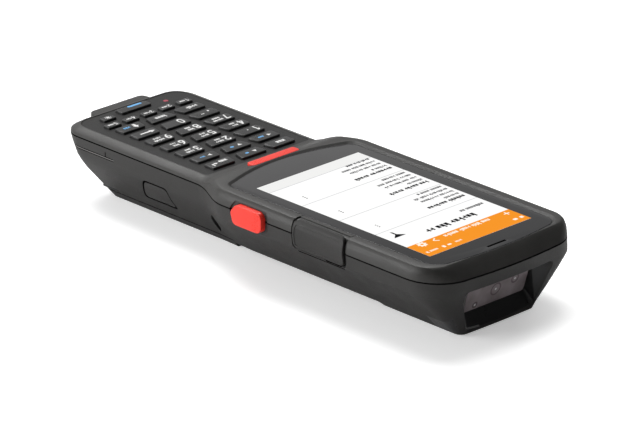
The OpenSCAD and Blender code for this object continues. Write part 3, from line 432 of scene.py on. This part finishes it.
# node: material, width of a real rounding on its edges in mm; every node not named here is a key
FINISH = {
    "upper_housing": (upper_shell, 0), "lower_housing": (lower_shell, 0), "housing_gasket": (gasket, 0),
    "housing_screws": (steel, 0), "touch_glass": (touch_glass, 0.12), "display_panel": (black_plastic, 0),
    "earpiece": (black_plastic, 0), "keypad_panel": (key_deck, 0), "keypad_mat": (key_mat, 0),
    "keypad_board": (board, 0), "status_light": (status_light, 0.15), "main_board": (board, 0),
    "board_screws": (steel, 0.2), "usb_socket": (steel, 0.1), "audio_socket": (black_plastic, 0),
    "trigger_switches": (switch_plastic, 0.1), "scan_window": (scan_window, 0), "window_seal": (gasket, 0),
    "scan_engine": (black_plastic, 0.2), "scan_lens": (scan_lens, 0.3), "battery_cover": (cover_shell, 0),
    "battery_pack": (pack_plastic, 0.5), "battery_contacts": (brass, 0.1), "latch_right": (latch_shell, 0.3),
    "latch_left": (latch_shell, 0.3), "strap_bars": (bar_steel, 0.15), "port_cover": (cover_rubber, 0.3),
    "cover_anchor": (cover_rubber, 0.1), "trigger_right": (signal_red, 0.55),
    "trigger_left": (signal_red, 0.55), "scan_key": (signal_red, 0.55)}
KEY_FINISH = (key_skin, 0.5)
# In degrees: edges bent less are shaded smooth, edges bent more are rounded, faces bent less are one flat
SMOOTH_BELOW, ROUND_ABOVE, FLAT_BELOW = 28, 50, 0.5


def mesh_nodes(name, smooth):
    """Geometry nodes that weld a CAD mesh, and then if asked shade it smooth except across real edges."""
    g = bpy.data.node_groups.new(name, "GeometryNodeTree")
    g.interface.new_socket("Geometry", in_out="INPUT", socket_type="NodeSocketGeometry")
    g.interface.new_socket("Geometry", in_out="OUTPUT", socket_type="NodeSocketGeometry")
    new, link = g.nodes.new, g.links.new
    start, end = new("NodeGroupInput"), new("NodeGroupOutput")
    weld, drop = new("GeometryNodeMergeByDistance"), new("GeometryNodeRemoveAttribute")
    weld.inputs["Distance"].default_value = 1e-6
    drop.inputs["Name"].default_value = "custom_normal"
    chain = [start, weld, drop]
    if smooth:
        faces, edges = new("GeometryNodeSetShadeSmooth"), new("GeometryNodeSetShadeSmooth")
        faces.domain, edges.domain = "FACE", "EDGE"
        faces.inputs["Shade Smooth"].default_value = True
        angle, soft = new("GeometryNodeInputMeshEdgeAngle"), new("FunctionNodeCompare")
        soft.data_type, soft.operation = "FLOAT", "LESS_THAN"
        soft.inputs[1].default_value = math.radians(SMOOTH_BELOW)
        link(angle.outputs["Unsigned Angle"], soft.inputs[0])
        link(soft.outputs[0], edges.inputs["Shade Smooth"])
        chain += [faces, edges]
    chain.append(end)
    for a, b in zip(chain, chain[1:]):
        link(a.outputs[0], b.inputs[0])
    return g


welded, smoothed = mesh_nodes("weld", False), mesh_nodes("smooth_by_angle", True)
for name, obj in nodes.items():
    finish, rounding = FINISH.get(name, KEY_FINISH)
    obj.material_slots[0].material = finish
    if rounding:
        obj.modifiers.new("weld", "NODES").node_group = welded
        flat = obj.modifiers.new("flats", "DECIMATE")
        flat.decimate_type, flat.angle_limit = "DISSOLVE", math.radians(FLAT_BELOW)
        edge = obj.modifiers.new("rounding", "BEVEL")
        edge.width, edge.segments = rounding * MM, 4
        edge.limit_method, edge.angle_limit = "ANGLE", math.radians(ROUND_ABOVE)
        edge.use_clamp_overlap, edge.loop_slide = True, False
    obj.modifiers.new("smooth", "NODES").node_group = smoothed


# ---------------------------------------------------------------- flat artwork, all in mm
def polar(cx, cy, rx, ry, degrees):
    turn = math.radians(degrees)
    return cx + rx * math.cos(turn), cy + ry * math.sin(turn)


def arc(cx, cy, r, a0, a1, n):
    return [polar(cx, cy, r, r, a0 + (a1 - a0) * i / n) for i in range(n + 1)]


def disc(cx, cy, r, n):
    return arc(cx, cy, r, 0, 360, n)[:-1]


def rect(cx, cy, w, h):
    x0, x1, y0, y1 = cx - w / 2, cx + w / 2, cy - h / 2, cy + h / 2
    return [(x0, y0), (x1, y0), (x1, y1), (x0, y1)]


def pill(cx, cy, w, h, r=None):
    """Rectangle with rounded corners, or with round ends that just keep a straight edge between them."""
    r = min(w, h) / 2 - 0.001 if r is None else r
    x, y = w / 2 - r, h / 2 - r
    return (arc(cx + x, cy + y, r, 0, 90, 3) + arc(cx - x, cy + y, r, 90, 180, 3)
            + arc(cx - x, cy - y, r, 180, 270, 3) + arc(cx + x, cy - y, r, 270, 360, 3))


def stroke(points, w):
    """A bent line of constant width, as one quad for each straight part, overlapping at the bends."""
    out = []
    for (ax, ay), (bx, by) in zip(points, points[1:]):
        d = Vector((bx - ax, by - ay))
        d = d.normalized() * w / 2 if d.length > 1e-9 else Vector((w / 2, 0))
        ends = ((ax - d.x * 0.6, ay - d.y * 0.6), (bx + d.x * 0.6, by + d.y * 0.6))
        out.append([(ends[0][0] + d.y, ends[0][1] - d.x), (ends[1][0] + d.y, ends[1][1] - d.x),
                    (ends[1][0] - d.y, ends[1][1] + d.x), (ends[0][0] - d.y, ends[0][1] + d.x)])
    return out


# Numerals drawn as strokes on a 3 by 5 field, and the strokes' width there
NUMERAL_LINE = 0.8
NUMERALS = {
    "0": [[polar(1.5, 2.5, 1.25, 2.2, a) for a in range(0, 361, 24)]],
    "1": [[(0.6, 3.7), (1.7, 4.7), (1.7, 0.3)]],
    "2": [arc(1.5, 3.45, 1.2, 165, -35, 7) + [(0.3, 0.5)], [(0.3, 0.5), (2.8, 0.5)]],
    "3": [arc(1.45, 3.6, 1.05, 150, -80, 7) + [(1.2, 2.6)], [(1.2, 2.6)] + arc(1.45, 1.45, 1.2, 80, -155, 7)],
    "4": [[(2.2, 0.3), (2.2, 4.6), (0.3, 1.5), (2.9, 1.5)]],
    "5": [[(2.7, 4.5), (0.7, 4.5), (0.5, 2.7)] + arc(1.4, 1.6, 1.3, 115, -145, 8)],
    "6": [[(2.4, 4.6), (1.2, 3.6), (0.4, 2.2)] + arc(1.5, 1.5, 1.15, 160, -200, 12)],
    "7": [[(0.3, 4.5), (2.7, 4.5), (1.2, 0.3)]],
    "8": [arc(1.5, 3.6, 1.0, -90, 270, 12), arc(1.5, 1.45, 1.2, 90, 450, 12)],
    "9": [arc(1.5, 3.5, 1.15, -20, -380, 12) + [(2.5, 2.6), (1.8, 1.4), (0.7, 0.4)]],
}


def numeral(char, cx, cy, h):
    k = h / 5.0
    quads = [quad for line in NUMERALS[char] for quad in stroke(line, NUMERAL_LINE)]
    return [[(cx + (x - 1.5) * k, cy + (y - 2.5) * k) for x, y in quad] for quad in quads]


STEP = 0.0007                                   # in height, between neighbouring polygons that may overlap


def sheet_mesh(name, layers, z, thick, body):
    """One flat piece of several polygons, a material for each layer, each polygon a thin plate."""
    bm = bmesh.new()
    for index, (polys, mat, lift) in enumerate(layers):
        for k, poly in enumerate(polys):
            up = z + lift + STEP * (k % 7)
            lo = [bm.verts.new((x * MM, y * MM, up * MM)) for x, y in poly]
            hi = [bm.verts.new((x * MM, y * MM, (up + thick) * MM)) for x, y in poly]
            made = [bm.faces.new(hi), bm.faces.new(lo[::-1])]
            n = len(poly)
            made += [bm.faces.new((lo[i], lo[(i + 1) % n], hi[(i + 1) % n], hi[i])) for i in range(n)]
            for f in made:
                f.material_index = index
    bmesh.ops.triangulate(bm, faces=[f for f in bm.faces if len(f.verts) > 4])
    bmesh.ops.recalc_face_normals(bm, faces=bm.faces)
    mesh = bpy.data.meshes.new(name)
    bm.to_mesh(mesh)
    bm.free()
    for _, mat, _ in layers:
        mesh.materials.append(mat)
    obj = bpy.data.objects.new(name, mesh)
    bpy.context.collection.objects.link(obj)
    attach(obj, body)


def greeked(x0, x1, y, h, weight=0.3, gap=0.8):
    """Lines that stand for text and spell nothing: words of little barred marks from x0 to x1."""
    out, x, pitch = [], x0, h * 0.66
    low, small, body, stem = y - h / 2, h * 0.72, pitch * 0.8, weight * pitch
    while x < x1 - pitch:
        count = min(rnd.randint(3, 8), max(1, int((x1 - x) / pitch)))
        for i in range(count):
            cx = x + (i + 0.5) * pitch
            top = h if rnd.random() < 0.2 else small
            kind = rnd.randint(0, 3)
            out.append(rect(cx - body / 2 + stem / 2, low + top / 2, stem, top))
            if kind:
                out.append(rect(cx + body / 2 - stem / 2, low + small / 2, stem, small))
            if kind != 2:
                out.append(rect(cx, low + small / 2 + stem * 0.2, body, stem))
            if kind > 1:
                out.append(rect(cx, low + small - stem / 2, body, stem))
            if kind == 3:
                out.append(rect(cx, low + stem / 2, body, stem))
        x += count * pitch + gap
    return out


# ---------------------------------------------------------------- the picture on the display
S = SCREEN_Y                                    # the artwork is measured from the middle of the screen
pic_white = lit("pic_white", (0.985, 0.985, 0.98))
pic_orange = lit("pic_orange", (0.915, 0.305, 0.024))
pic_grey = lit("pic_grey", (0.86, 0.86, 0.85))
pic_rule = lit("pic_rule", (0.60, 0.61, 0.62))
pic_dark = lit("pic_dark", (0.012, 0.012, 0.014))
pic_text = lit("pic_text", (0.05, 0.05, 0.055))
pic_icon = lit("pic_icon", (1.0, 0.93, 0.82))
FIELD_Z, INK_T = BODY_H + 0.01, 0.012           # underside of the white field, thickness of what lies on it
BANDS_Z, MARKS_Z = FIELD_Z + 0.022, FIELD_Z + 0.036
RULES = (16.6, -1.2, -19.9, -36.7)              # lines between the rows of the list, and below them
ROW_HEADS, ROW_DOTS = (12.2, -6.1, -24.3), (11.3, -6.9, -25.1)
LINE_ENDS = (-16.4, -7.6, -6.8, -11.2)          # where the plain lines under each row's heading end


def picture(name, layers, z, thick=INK_T):
    sheet_mesh(name, layers, z, thick, "housing")


picture("picture_field", [([rect(0, S, ACTIVE_W, ACTIVE_L)], pic_white, 0)], FIELD_Z, 0.02)
picture("picture_bands", [([rect(0, S + 37.6, ACTIVE_W, 11.2)], pic_orange, 0),
                          ([rect(0, S - 39.95, ACTIVE_W, 6.5)], pic_grey, 0),
                          ([rect(0, S + y, ACTIVE_W, 0.34) for y in RULES], pic_rule, 0)], BANDS_Z)
bold, plain = [], []
for top in ROW_HEADS:
    bold += greeked(-24.3, -4.2, S + top, 2.1, 0.42, 0.7)
    for i, end in enumerate(LINE_ENDS):
        plain += greeked(-24.3, end, S + top - 2.9 * (i + 1), 1.7, 0.32, 0.6)
bold += greeked(-14.3, 10.6, S + 26.9, 3.1, 0.4, 1.1)
plain += greeked(-23.7, -11.5, S + 21.9, 1.9, 0.34, 0.6)
plain += [pill(19.4, S + y + d, 0.62, 0.62) for y in ROW_DOTS for d in (-1.0, 0, 1.0)]
funnel = [(17.4, 23.4), (19.9, 21.2), (19.9, 19.0), (20.7, 18.4), (20.7, 21.2), (23.2, 23.4)]
bold.append([(x, S + y) for x, y in funnel])
picture("picture_text", [(bold, pic_dark, 0), (plain, pic_text, 0)], MARKS_Z)
GEAR_X, GEAR_Y = 20.1, S + 33.8
gear = [disc(GEAR_X, GEAR_Y, 1.45, 20)]
gear += [pill(*polar(GEAR_X, GEAR_Y, 1.6, 1.6, 45 * i), 0.75, 0.75, 0.1) for i in range(8)]
chevron = stroke([(13.0, S + 35.3), (14.6, S + 34.1), (13.0, S + 32.9)], 0.5)
plus = [pill(-22.6, S + 34.3, 2.6, 0.5, 0.05), pill(-22.6, S + 34.3, 0.5, 2.6, 0.05)]
status = [pill(15.7, S + 40.2, 1.2, 1.6, 0.3), pill(12.9, S + 40.2, 1.7, 1.0, 0.2),
          pill(-21.0, S + 40.1, 1.9, 1.4, 0.4), pill(-24.2, S + 40.1, 1.5, 1.5, 0.2)]
status += greeked(18.6, 24.6, S + 40.2, 1.5) + greeked(6.6, 10.0, S + 40.2, 1.2)
title = greeked(-14.3, 9.1, S + 34.0, 2.1, 0.3, 0.8)
picture("picture_icons", [(chevron + plus + status + title + gear, pic_icon, 0),
                          ([disc(GEAR_X, GEAR_Y, 0.6, 12)], pic_orange, 0.018)], MARKS_Z)


# ---------------------------------------------------------------- bond line round the glass
GLASS_HALF, GLASS_TOP, GLASS_LOW = 31.3, S + 53.7, S - 57.5
GLASS_R_TOP, GLASS_R_LOW = 6.5, 3.0             # corners at the earpiece's end and at the keypad's
BOW_TOP, BOW_LOW = 1.9, 5.0                     # how far the two ends bow out in the middle


def glass_outline(d):
    """Outline of the touch glass, bowed at both ends, moved out by d."""
    hw, top, low, rt, rl = GLASS_HALF + d, GLASS_TOP + d, GLASS_LOW - d, GLASS_R_TOP + d, GLASS_R_LOW + d
    half = [((hw - rl) * i / 6, low + BOW_LOW * (i / 6) ** 2) for i in range(7)]
    half += arc(hw - rl, low + BOW_LOW + rl, rl, -75, 0, 5) + arc(hw - rt, top - BOW_TOP - rt, rt, 0, 90, 8)
    half += [((hw - rt) * i / 6, top - BOW_TOP * (i / 6) ** 2) for i in (5, 4, 3, 2, 1)] + [(0, top)]
    return half + [(-x, y) for x, y in half[-2:0:-1]]


outer, inner = glass_outline(0.13), glass_outline(-0.3)
rings = list(zip(outer, outer[1:] + outer[:1], inner[1:] + inner[:1], inner))
sheet_mesh("glass_bond", [(rings, glass_bond, 0)], BODY_H - 0.6, 0.5, "housing")


# ---------------------------------------------------------------- legends on the keys
def triangle(cx, cy, r, turn):
    return [polar(cx, cy, r, r * 0.85, turn + a) for a in (90, 210, 330)]


def legend(name, white, blue=()):
    """Print on a key: polygons round the middle of its top, in white ink and in blue."""
    lo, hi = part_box(name)
    x, y, top = (lo[0] + hi[0]) / 2 / MM, (lo[1] + hi[1]) / 2 / MM, hi[2] / MM
    layers = [([[(x + a, y + b) for a, b in p] for p in polys], mat, 0)
              for polys, mat in ((white, ink_white), (blue, ink_blue)) if polys]
    sheet_mesh("legend_" + name, layers, top - 0.008, 0.03, name)


def word(x0, x1, y, h):
    return greeked(x0, x1 + 0.3, y, h, 0.34, 0.2)


legend("key_1", numeral("1", -3.5, 0.0, 3.9) + [pill(0.2, -0.6, 0.7, 0.7)])
for digit in "23456789":
    long = 1.0 if digit in "79" else 0.0
    legend("key_" + digit, numeral(digit, -3.5, 0.0, 3.9) + word(-1.2, 2.6 + long, 0.95, 1.5)
           + word(-1.0, 2.2 + long, -1.0, 1.4))
legend("key_0", numeral("0", -2.8, 0.0, 3.9))
legend("key_escape", word(-2.9, 2.4, 0, 2.2))
legend("key_enter", word(-3.6, 1.0, -0.4, 2.2) + stroke([(4.0, 1.4), (4.0, -0.2), (2.2, -0.2)], 0.6)
       + [triangle(2.2, -0.2, 1.0, 90)])
legend("key_up", [triangle(-2.2, 0.0, 1.2, 0)], [pill(1.6, 0, 1.7, 1.1)])
legend("key_down", [triangle(-2.2, 0.0, 1.2, 180)], [pill(1.6, 0, 1.7, 1.0)])
legend("key_left", [triangle(-2.2, 0.0, 1.2, 90)], word(0.2, 3.2, 0, 1.4))
legend("key_right", [triangle(-2.2, 0.0, 1.2, -90)], word(0.2, 3.2, 0, 1.3))
legend("key_point", [pill(-2.6, -0.9, 0.95, 0.95)] + stroke([(0.6, 0.3), (1.8, 0.3)], 0.45))
legend("key_back", stroke([(-2.6, 0), (2.4, 0)], 0.8) + [triangle(-3.0, 0, 1.5, 90)])
legend("key_alpha", word(-3.8, 2.8, 0, 2.1))
legend("key_function", word(-2.8, 2.4, 0, 2.0))
legend("key_shift", [[(-3.6, 0.1), (-2.2, 1.7), (-0.8, 0.1)], rect(-2.2, -0.7, 1.3, 1.7)],
       word(0.3, 3.2, -0.1, 1.6))
for i in range(1, 6):
    legend("key_f%d" % i, numeral(str(i), -1.5, 0.0, 2.1) + word(-0.4, 1.9, 0.0, 1.3))
rays = [pill(*polar(0, 0, 1.15, 1.05, 45 * i), 0.4, 0.4) for i in range(8)]
legend("key_light", [disc(0, 0, 0.7, 16)] + rays)
legend("key_power", [], [pill(-1.4, -1.0, 6.9, 1.15, 0.4)])


# ---------------------------------------------------------------- floor, light, camera
# The stronger glow past the nose is painted light that pales the shadow there
FLOOR_GLOW, PAINTED_LIFT_PAST_NOSE = 0.41, 0.62               # glow the camera sees, near the device and past the nose


def floor_material():
    """White sweep. It glows only for the camera, so it shows full white without lighting the device; past the
    nose the glow is stronger, a painted light that pales the shadow there. For the other rays it is grey,
    darker towards +X and -Y.
    """
    p = Paint("floor", Roughness=0.8, Specular_IOR_Level=0.1, Emission_Color=(1, 1, 1, 1))
    seen = p.node("ShaderNodeLightPath").outputs["Is Camera Ray"]
    tone = p.mix(p.ramp(p.noise(60, 3.0), 0.3, 0.7), (0.94, 0.94, 0.94, 1), (0.96, 0.96, 0.96, 1))
    x, y, _ = p.axes()
    # For the rays that light the device and reflect in it, the floor is grey, darker towards +X and -Y
    level = p.ramp(p.math("SUBTRACT", x, y), -70.0 * MM, 220.0 * MM, 0.95, 0.85)
    p.set("Base Color", p.mix(seen, p.mix(level, (0, 0, 0, 1), (1, 1, 1, 1)), tone))
    # Painted light: past the nose the camera sees a stronger glow, which pales the shadow there
    glow = p.ramp(p.math("SUBTRACT", y, x), 104.0 * MM, 132.0 * MM, FLOOR_GLOW, PAINTED_LIFT_PAST_NOSE)
    p.set("Emission Strength", p.math("MULTIPLY", seen, glow))
    p.bump(p.noise(2.0, 2.0), 0.02, 0.02)
    return p.mat


bpy.ops.mesh.primitive_plane_add(size=6.0, location=(0, 0, 0))
floor = bpy.context.active_object
floor.name = "floor"
floor.data.materials.append(floor_material())

# A broad glow from beyond the tail, fading to a dim room; the camera sees plain white
GLOW_FROM = Vector((0.1, -0.9, 0.3)).normalized()
GLOW_EDGE, GLOW_CORE, ROOM_LEVEL, GLOW_LEVEL = -0.1, 0.85, 0.10, 0.55
world = bpy.data.worlds.new("studio")
bpy.context.scene.world = world
world.use_nodes = True
wt = world.node_tree
bg = wt.nodes["Background"]
way = wt.nodes.new("ShaderNodeTexCoord")
lean = wt.nodes.new("ShaderNodeVectorMath")
lean.operation = "DOT_PRODUCT"
wt.links.new(way.outputs["Generated"], lean.inputs[0])
lean.inputs[1].default_value = GLOW_FROM
fall = wt.nodes.new("ShaderNodeMapRange")
fall.interpolation_type = "SMOOTHSTEP"
for i, v in enumerate((GLOW_EDGE, GLOW_CORE, ROOM_LEVEL, GLOW_LEVEL), 1):
    fall.inputs[i].default_value = v
wt.links.new(lean.outputs["Value"], fall.inputs[0])
seen = wt.nodes.new("ShaderNodeLightPath")
white = wt.nodes.new("ShaderNodeMath")
white.operation = "MAXIMUM"
wt.links.new(seen.outputs["Is Camera Ray"], white.inputs[0])
wt.links.new(fall.outputs[0], white.inputs[1])
wt.links.new(white.outputs[0], bg.inputs["Strength"])
bg.inputs["Color"].default_value = (1, 1, 1, 1)


def softbox(name, at, aim, w, h, power):
    """A rectangular lamp at a place, turned to its aim: metres and watts."""
    data = bpy.data.lights.new(name, "AREA")
    data.shape, data.size, data.size_y, data.energy = "RECTANGLE", w, h, power
    lamp = bpy.data.objects.new(name, data)
    lamp.location = at
    lamp.rotation_euler = (Vector(aim) - Vector(at)).to_track_quat("-Z", "Y").to_euler()
    bpy.context.collection.objects.link(lamp)


softbox("left_light", (1.15, -0.65, 0.40), (0, 0, 0.02), 1.0, 0.6, 13.0)
softbox("back_light", (-0.45, -0.55, 1.4), (0, 0, 0), 0.9, 0.7, 13.0)
softbox("rim_light", (-0.22, -1.04, 1.19), (0, -0.03, 0), 0.5, 0.4, 7.0)

# The photograph's own camera: its direction, its shift from the middle of the screen and distance in mm
az, el, roll = math.radians(44.76), math.radians(22.23), math.radians(0.91)
SHIFT_RIGHT, SHIFT_UP, DISTANCE, LENS = -26.1, -3.7, 1785.0, 281.25
back = Vector((math.cos(el) * math.cos(az), math.cos(el) * math.sin(az), math.sin(el)))
right = Vector((0, 0, 1)).cross(back).normalized()
up = back.cross(right)
right, up = right * math.cos(roll) + up * math.sin(roll), up * math.cos(roll) - right * math.sin(roll)
aim = Vector((0, SCREEN_Y, BODY_H))
spot = (aim + right * SHIFT_RIGHT + up * SHIFT_UP + back * DISTANCE) * MM
data = bpy.data.cameras.new("camera")
data.sensor_width, data.lens, data.clip_start, data.clip_end = 36.0, LENS, 0.05, 50.0
camera = bpy.data.objects.new("camera", data)
camera.matrix_world = Matrix(((right.x, up.x, back.x, spot.x), (right.y, up.y, back.y, spot.y),
                              (right.z, up.z, back.z, spot.z), (0, 0, 0, 1)))
bpy.context.collection.objects.link(camera)
bpy.context.scene.camera = camera
bpy.context.scene.view_settings.view_transform = "Standard"
